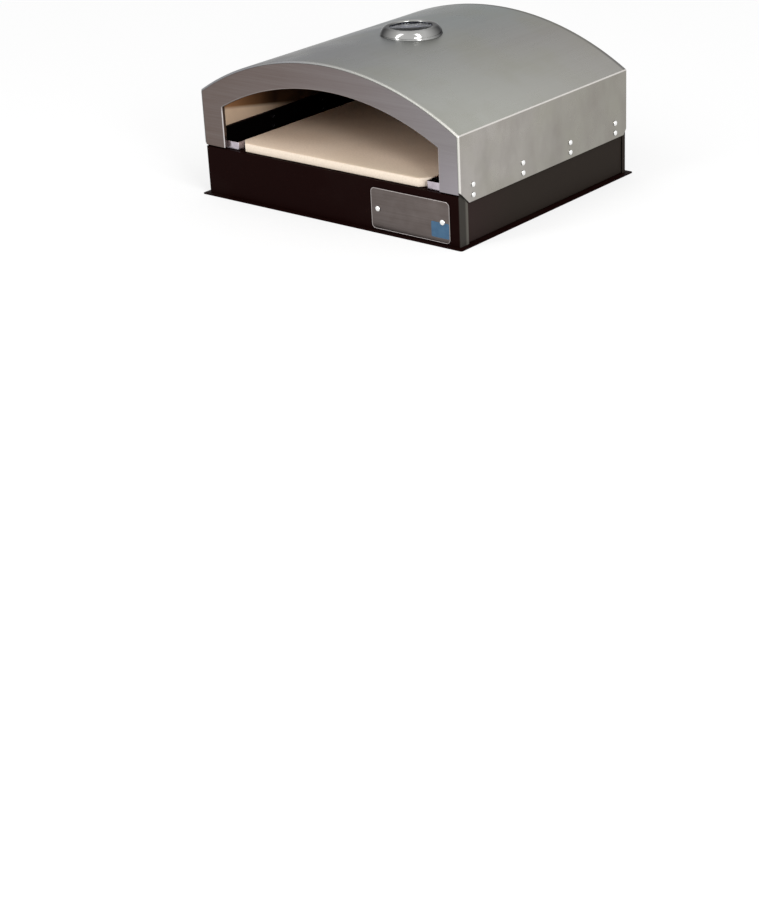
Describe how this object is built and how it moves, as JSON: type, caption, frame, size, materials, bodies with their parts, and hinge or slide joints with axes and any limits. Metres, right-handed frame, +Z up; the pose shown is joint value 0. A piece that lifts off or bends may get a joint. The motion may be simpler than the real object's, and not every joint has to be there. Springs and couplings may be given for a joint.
{
  "type": "pizza oven",
  "caption": "Arched double-walled stainless pizza oven that sits over a camp stove burner, with an open mouth, a loose baking stone and a dial thermometer on the crown.",
  "frame": {"origin": "middle of the footprint, on the underside of the bottom plate", "axes": "+Z up, +X to the right across the mouth, the mouth faces -Y"},
  "size_m": [0.42, 0.3566, 0.203],
  "materials": {
    "brushed_stainless": "brushed, faint heat tint",
    "liner_steel": "bright rolled sheet",
    "black_paint": "satin black heat-proof paint",
    "bright_steel": "bright",
    "plate_metal": "dark satin plate, bare",
    "stone": "matt baked cordierite",
    "chrome": "polished",
    "gauge_glass": "clear lens",
    "gauge_dial_face": "dark printed dial",
    "gauge_seal": "matt",
    "needle_paint": "satin",
    "brass": "machined"
  },
  "bodies": {
    "housing": {"outer_dome": "brushed_stainless", "front_panel": "brushed_stainless", "back_panel": "brushed_stainless", "inner_liner": "liner_steel", "liner_back_panel": "liner_steel", "heat_diffuser": "liner_steel", "bottom_plate": "black_paint", "base_front_wall": "black_paint", "base_back_wall": "black_paint", "base_left_wall": "black_paint", "base_right_wall": "black_paint", "stone_rear_rail": "black_paint", "stone_clip_front_left": "bright_steel", "stone_clip_front_right": "bright_steel", "stone_clip_rear_left": "bright_steel", "stone_clip_rear_right": "bright_steel", "stone_clip_screw_front_left": "bright_steel", "stone_clip_screw_front_right": "bright_steel", "stone_clip_screw_rear_left": "bright_steel", "stone_clip_screw_rear_right": "bright_steel", "side_rivet_left_1_low": "bright_steel", "side_rivet_left_1_high": "bright_steel", "side_rivet_left_2_low": "bright_steel", "side_rivet_left_2_high": "bright_steel", "side_rivet_left_3_low": "bright_steel", "side_rivet_left_3_high": "bright_steel", "side_rivet_left_4_low": "bright_steel", "side_rivet_left_4_high": "bright_steel", "side_rivet_right_1_low": "bright_steel", "side_rivet_right_1_high": "bright_steel", "side_rivet_right_2_low": "bright_steel", "side_rivet_right_2_high": "bright_steel", "side_rivet_right_3_low": "bright_steel", "side_rivet_right_3_high": "bright_steel", "side_rivet_right_4_low": "bright_steel", "side_rivet_right_4_high": "bright_steel", "nameplate_rivet_left": "bright_steel", "nameplate_rivet_right": "bright_steel", "gauge_stem": "bright_steel", "gauge_spacer": "bright_steel", "gauge_washer": "bright_steel", "gauge_nut": "bright_steel", "nameplate": "plate_metal", "gauge_bezel": "chrome", "gauge_case": "chrome", "gauge_lens": "gauge_glass", "gauge_dial": "gauge_dial_face", "gauge_gasket": "gauge_seal", "gauge_bush": "brass", "gauge_bimetal_coil": "brass"},
    "needle": {"gauge_needle": "needle_paint", "gauge_spindle": "brass"},
    "stone": {"pizza_stone": "stone"}
  },
  "joints": [
    {"name": "needle_turn", "type": "hinge", "parent": "housing", "child": "needle", "pos_m": [0, 0, 0.1986], "axis": [0, 0, -1], "range_deg": [0, 270]},
    {"name": "stone_slide", "type": "slide", "parent": "housing", "child": "stone", "axis": [0, -1, 0], "range_m": [0, 0.33]}
  ]
}
